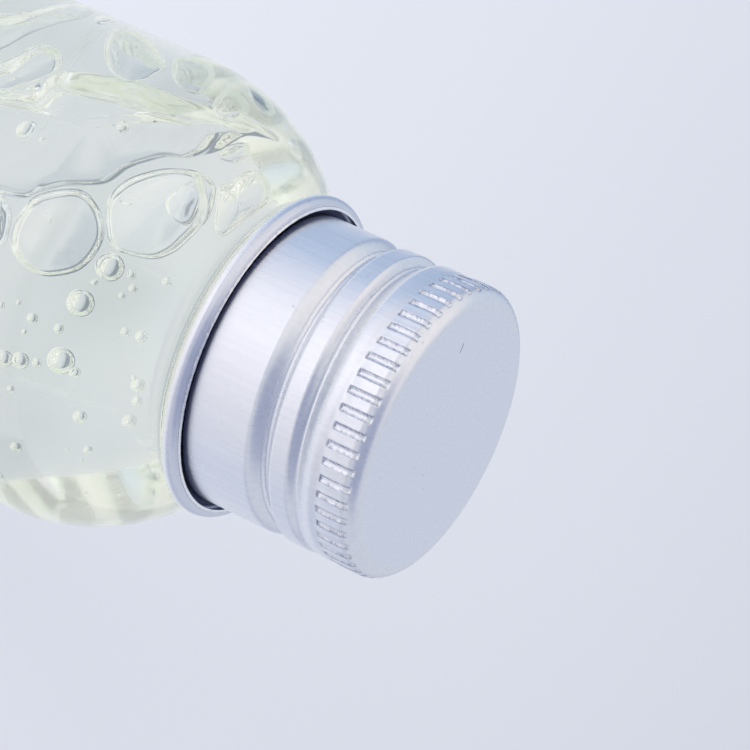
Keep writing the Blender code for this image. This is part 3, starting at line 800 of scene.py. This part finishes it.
SMALL = ((-94.4, 83.2, 1.15), (-82.6, 82.4, 1.11), (-66.2, 82.3, 1.11), (-62.7, 78.3, 0.71),
         (-63.6, 79.6, 0.71), (-127.9, 78.3, 0.48), (-51.1, 84.4, 0.56), (-49.4, 87.3, 0.6),
         (-38.4, 79.8, 0.48), (-39.6, 85.0, 0.4), (-24.7, 77.4, 0.63), (-74.9, 79.8, 0.45),
         (-74.8, 81.9, 0.4), (-79.5, 86.1, 0.4), (-79.5, 87.0, 0.5), (-98.4, 87.1, 0.4), (-92.0, 85.5, 0.4),
         (-95.1, 85.0, 0.4), (-89.1, 83.1, 0.32), (-64.6, 81.0, 0.4), (-64.4, 83.7, 0.48),
         (-66.1, 87.4, 0.24), (-63.1, 87.5, 0.6), (-57.4, 87.7, 0.45), (-55.9, 79.4, 0.32),
         (-77.3, 78.5, 0.24), (-71.2, 79.6, 0.24), (-88.8, 85.1, 0.32), (-75.1, 77.2, 0.32),
         (-40.2, 83.8, 0.16), (-36.4, 84.7, 0.16), (-16.8, 86.2, 0.16), (-21.6, 84.3, 0.16))


def scattered():
    """Small round bubbles, by seed, where none is listed: the body and the shoulder's back."""
    rng = np.random.default_rng(11)
    found = []
    while len(found) < ALL_BUBBLES:
        back = len(found) >= BODY_BUBBLES
        angle = rng.uniform(*(BACK_ANGLES if back else BODY_ANGLES))
        height = rng.uniform(*(BACK_HEIGHTS if back else BODY_HEIGHTS))
        radius = rng.uniform(*BACK_RADII) if back else BODY_SMALLEST + BODY_MORE * rng.random() ** 3
        turn = math.radians(angle)
        spot = np.array((BUBBLE_WALL_R * math.cos(turn), BUBBLE_WALL_R * math.sin(turn), height))
        if all(np.linalg.norm(spot - other) > radius + size + BUBBLE_SPACE for other, size, _ in found):
            found.append((spot, radius, (angle, height, radius)))
    return tuple(place for _, _, place in found)


def gel(material):
    """The gel inside the wall, up to its curved surface in the neck, with its bubbles as holes."""
    outside = inner_profile(-GEL_OVERLAP)
    outside = outside[outside[:, 1] < CEILING + BORE_FILLET]
    surface = ((BORE_R + GEL_OVERLAP, GEL_TOP + 0.9), (8.6, GEL_TOP + 0.45), (7.0, GEL_TOP + 0.12),
               (4.0, GEL_TOP + 0.02), (0.0, GEL_TOP))
    profile = np.vstack((outside[::-1], surface))
    profile[0][0] = 0.0
    shapes = [turned_mesh(profile, BOTTLE_COLUMNS)]
    shapes.append(flat_bubble(POCKET, 0.25, 7.0, 0.7, 1.0, flare=2.0, grow=0.05, sides=240))
    shapes.append(flat_bubble(BUBBLE_A, 0.15, 2.4, 0.6, 1.3, grow=0.10, sides=128))
    shapes.append(flat_bubble(BUBBLE_B, 0.15, 2.4, 0.6, 1.3, grow=0.10, sides=128))
    shapes.append(flat_bubble(RING_B, 0.15, 1.2, 0.5, 0.6, start=5.0))
    shapes.append(flat_bubble(BUBBLE_C, 0.25, 2.2, 0.8, 0.6))
    shapes.append(flat_bubble(BUBBLE_E, 0.25, 1.4, 0.5, 0.3))
    shapes.append(flat_bubble(BUBBLE_L, 0.15, 2.2, 0.9, 1.2))
    for outline in (BUBBLE_G1, BUBBLE_G2, BUBBLE_G3, BUBBLE_G4, BUBBLE_H1, BUBBLE_H2):
        shapes.append(flat_bubble(outline, 0.2, 2.0, 0.7, 0.7))
    shapes += [round_bubble(*place) for place in SMALL + scattered()]
    first, faces = 0, []
    for part_verts, part_faces in shapes:
        faces += [[v + first for v in face] for face in part_faces]
        first += len(part_verts)
    verts = np.vstack([part_verts for part_verts, _ in shapes])
    add_mesh("toner_gel_fill", verts, faces, material, "bottle", "toner_gel")


# Plug and liner

def reducer(material):
    """The plug: hollow skirt with a sealing bead, flange, cup, spout and pouring hole."""
    spout_top, edge = CUP_FLOOR + SPOUT_H, 0.1
    profile = [(ORIFICE_R + edge, PLUG_LOW), (PLUG_R - 0.8, PLUG_LOW), (PLUG_R - edge, PLUG_LOW + 0.62),
               (PLUG_R, PLUG_LOW + 0.85)]
    profile += [(PLUG_R + rise, height) for rise, height in BEAD_SHAPE]
    profile += [(PLUG_R, FLANGE_LOW - edge), (PLUG_R + edge, FLANGE_LOW), (FLANGE_R - edge, FLANGE_LOW),
                (FLANGE_R, FLANGE_LOW + edge), (FLANGE_R, FLANGE_TOP - edge), (FLANGE_R - edge, FLANGE_TOP)]
    profile += [(CUP_R + 0.15, FLANGE_TOP), (CUP_R, FLANGE_TOP - 0.15), (CUP_R, CUP_FLOOR + 0.3),
                (CUP_R - 0.3, CUP_FLOOR), (SPOUT_R + 0.2, CUP_FLOOR), (SPOUT_R, CUP_FLOOR + 0.2)]
    profile += [(SPOUT_R, spout_top - 0.15), (SPOUT_R - 0.15, spout_top), (ORIFICE_R + 0.15, spout_top),
                (ORIFICE_R, spout_top - 0.15), (ORIFICE_R, PLUG_LOW + edge)]
    verts, faces = turned_mesh(profile, PLUG_COLUMNS)
    add_mesh("orifice_reducer_plug", verts, faces, material, "bottle", "orifice_reducer")


def liner(material):
    """The foam wad over the plug's flange."""
    r, low, top = LINER_R, LINER_LOW, LINER_TOP
    profile = [(0.0, low), (r * 0.5, low), (r - 0.4, low), (r - 0.06, low + 0.05), (r, low + 0.15),
               (r, top - 0.15), (r - 0.06, top - 0.05), (r - 0.2, top), (r * 0.5, top), (0.0, top)]
    verts, faces = turned_mesh(profile, PLUG_COLUMNS)
    add_mesh("cap_liner_wad", verts, faces, material, "liner", "cap_liner")


# Stage, in metres. For rays through the gel the floor glows with painted light and the world has colours of
# its own.

FLOOR, FLOOR_HALF = (0.84, 0.86, 0.88), 3.0

# Tints of the floor: along x or y, where each begins and is full, and its colour
FLOOR_TINTS = (("X", -0.07, -0.17, (0.46, 0.56, 0.70)), ("X", 0.10, 0.26, (0.72, 0.75, 0.82)),
               ("Y", 0.04, -0.20, (0.79, 0.77, 0.775)))

# The floor's painted glow for rays through the gel: rings by distance from the axis, and a bright part in
# front of the bottle
THROUGH_BASE = (0.87, 0.885, 0.83)
THROUGH_RINGS = ((0.035, 0.055, (0.67, 0.71, 0.73)), (0.075, 0.095, (0.61, 0.66, 0.68)),
                 (0.12, 0.15, (0.46, 0.53, 0.58)), (0.20, 0.26, (0.13, 0.18, 0.23)))
BRIGHT, BRIGHT_FAR, FAR_OFF = (0.95, 0.97, 1.00), (1.00, 1.00, 1.00), (0.18, 0.24)
IN_FRONT, PAST_BASE = (0.03, -0.03), (0.075, 0.095)


def through_floor(n, place, y):
    """The glow painted on the floor for rays through the gel: pale rings round the base, dim far behind,
    bright in front.
    """
    spread = n.add("ShaderNodeVectorMath", {0: place}, operation="LENGTH").outputs["Value"]
    through = THROUGH_BASE
    for inner, outer, ring in THROUGH_RINGS:
        through = n.mix(n.ease(spread, inner, outer), through, ring)
    bright = n.mix(n.ease(spread, *FAR_OFF), BRIGHT, BRIGHT_FAR)
    in_front = n.times(n.ease(y, *IN_FRONT), n.ease(spread, *PAST_BASE))
    return n.mix(in_front, through, bright)


def floor():
    """A plain pale floor that keeps the part's shadow, and glows with painted light for rays through the gel.
    """
    material, n, shader = new_material("pale_floor")
    place = n.place()
    along = n.add("ShaderNodeSeparateXYZ", {0: place}).outputs
    path = n.add("ShaderNodeLightPath")

    # The camera sees one plain floor; the tints are for what the metal reflects
    colour = FLOOR
    for axis, begins, full, tint in FLOOR_TINTS:
        colour = n.mix(n.ease(along[axis], begins, full), colour, tint)
    n.link(n.mix(path.outputs["Is Camera Ray"], colour, FLOOR), shader.inputs["Base Color"])
    n.link(0.9, shader.inputs["Roughness"])
    n.link(0.1, shader.inputs["Specular IOR Level"])
    # Rays through the gel see a painted glow instead of the lit floor
    pale = n.add("ShaderNodeEmission", {"Color": through_floor(n, place, along["Y"])})
    both = n.add("ShaderNodeMixShader", {0: path.outputs["Is Transmission Ray"], 1: shader.outputs[0],
                                         2: pale.outputs[0]})
    n.link(both.outputs[0], n.tree.nodes["Material Output"].inputs["Surface"])
    mesh = bpy.data.meshes.new("floor")
    s = FLOOR_HALF
    mesh.from_pydata([(-s, -s, 0), (s, -s, 0), (s, s, 0), (-s, s, 0)], [], [(0, 1, 2, 3)])
    mesh.materials.append(material)
    plane = bpy.data.objects.new("floor", mesh)
    bpy.context.scene.collection.objects.link(plane)


# Each lobe is a direction, the angles at which it is full and gone, and its colour
REFLECTED_BASE = (0.65, 0.68, 0.765)
REFLECTED = (((-0.74, 0.62, 0.26), 15.0, 50.0, (0.595, 0.67, 0.79)),
             ((-0.785, -0.366, 0.50), 35.0, 68.0, (0.83, 0.835, 0.86)),
             ((-0.50, 0.0, 0.87), 10.0, 45.0, (0.95, 0.91, 0.925)),
             ((-0.64, -0.76, 0.14), 8.0, 38.0, (0.96, 0.945, 0.955)),
             ((0.374, -0.416, 0.829), 22.0, 47.0, (0.375, 0.41, 0.56)))
THROUGH_WORLD = (0.84, 0.87, 0.83)
ADDED = (((0.0, -1.0, 0.05), 5.0, 35.0, (0.16, 0.13, 0.20)),
         ((-0.7, -0.7, 0.25), 10.0, 40.0, (0.05, 0.08, 0.15)),
         ((0.7, -0.7, 0.25), 10.0, 40.0, (0.20, 0.25, 0.27)),
         ((0.0, -0.8, 0.6), 10.0, 35.0, (-0.25, -0.22, -0.25)),
         ((-0.6, -0.5, 0.6), 10.0, 35.0, (0.40, 0.40, 0.45)),
         ((0.6, -0.3, 0.75), 10.0, 40.0, (0.45, 0.45, 0.40)),
         ((0.0, 0.0, 1.0), 10.0, 40.0, (0.20, 0.35, 0.40)),
         ((-1.0, 0.1, 0.3), 10.0, 45.0, (0.12, 0.08, 0.20)),
         ((1.0, 0.1, 0.3), 10.0, 45.0, (-0.30, -0.20, -0.05)),
         ((0.0, 1.0, 0.3), 10.0, 50.0, (-0.12, -0.08, 0.02)),
         ((-0.4, 0.7, 0.6), 10.0, 40.0, (-0.12, -0.10, -0.05)),
         ((0.5, 0.5, 0.7), 10.0, 40.0, (-0.10, -0.10, -0.10)))


def world():
    """What the metal reflects, bright at the upper left and dusky at the upper right, and what
    shows through the gel, an even pale yellow with lighter and darker parts laid over it."""
    studio = bpy.data.worlds.new("studio")
    studio.use_nodes = True
    bpy.context.scene.world = studio
    n = Nodes(studio.node_tree)
    way = n.add("ShaderNodeTexCoord").outputs["Generated"]

    def lobe(direction, inner, outer):
        near = n.dot(way, Vector(direction).normalized())
        return n.ease(near, math.cos(math.radians(outer)), math.cos(math.radians(inner)))

    reflected = REFLECTED_BASE
    for direction, inner, outer, colour in REFLECTED:
        reflected = n.mix(lobe(direction, inner, outer), reflected, colour)
    through = THROUGH_WORLD
    for direction, inner, outer, more in ADDED:
        through = n.add("ShaderNodeVectorMath", {0: lobe(direction, inner, outer), 1: more, 2: through},
                        operation="MULTIPLY_ADD").outputs[0]
    path = n.add("ShaderNodeLightPath")
    background = studio.node_tree.nodes["Background"]
    n.link(n.mix(path.outputs["Is Transmission Ray"], reflected, through), background.inputs["Color"])
    n.link(1.0, background.inputs["Strength"])


def lamp(name, place, aim, size, power):
    """A soft panel that lights the floor and casts the shadow, and shows in no reflection."""
    data = bpy.data.lights.new(name, "AREA")
    data.shape = "RECTANGLE"
    data.size, data.size_y = size
    data.energy = power
    panel = bpy.data.objects.new(name, data)
    panel.location = place
    panel.rotation_euler = (Vector(aim) - Vector(place)).to_track_quat("-Z", "Y").to_euler()
    panel.visible_glossy = False
    panel.visible_transmission = False
    bpy.context.scene.collection.objects.link(panel)


# The photo's view, in metres: the bottle comes in from the picture's upper left, cap first
CAMERA_PLACE = Vector((-0.00237413, -0.29796096, 0.23247419))
CAMERA_RIGHT = Vector((-0.42056265, 0.3667551, 0.82982996))
CAMERA_UP = -Vector((0.9072635, 0.17000959, 0.38466827))


def camera():
    """The photo's angle, from far off with a long lens."""
    data = bpy.data.cameras.new("camera")
    data.sensor_width = 36.0
    data.lens = 192.0
    data.clip_start, data.clip_end = 0.01, 20.0
    view = bpy.data.objects.new("camera", data)
    axes = Matrix((CAMERA_RIGHT, CAMERA_UP, CAMERA_RIGHT.cross(CAMERA_UP))).transposed()
    view.matrix_world = Matrix.Translation(CAMERA_PLACE) @ axes.to_4x4()
    bpy.context.scene.collection.objects.link(view)
    bpy.context.scene.camera = view


cap_shell(aluminium())
bottle(clear_pet())
gel(toner_gel())
reducer(natural_ldpe())
liner(white_foam())
floor()
world()
lamp("softbox", (-0.35, -0.30, 0.75), (0, 0, 0.05), (0.6, 0.6), 2.2)
lamp("low_panel", (-0.13, -0.50, 0.26), (0, 0, 0.04), (0.18, 0.12), 1.25)
camera()
scene = bpy.context.scene
scene.view_settings.view_transform = "Standard"

# Light needs many bounces to leave the gel, its bubbles and the clear wall
cycles = scene.cycles
cycles.max_bounces = cycles.transmission_bounces = cycles.glossy_bounces = 256
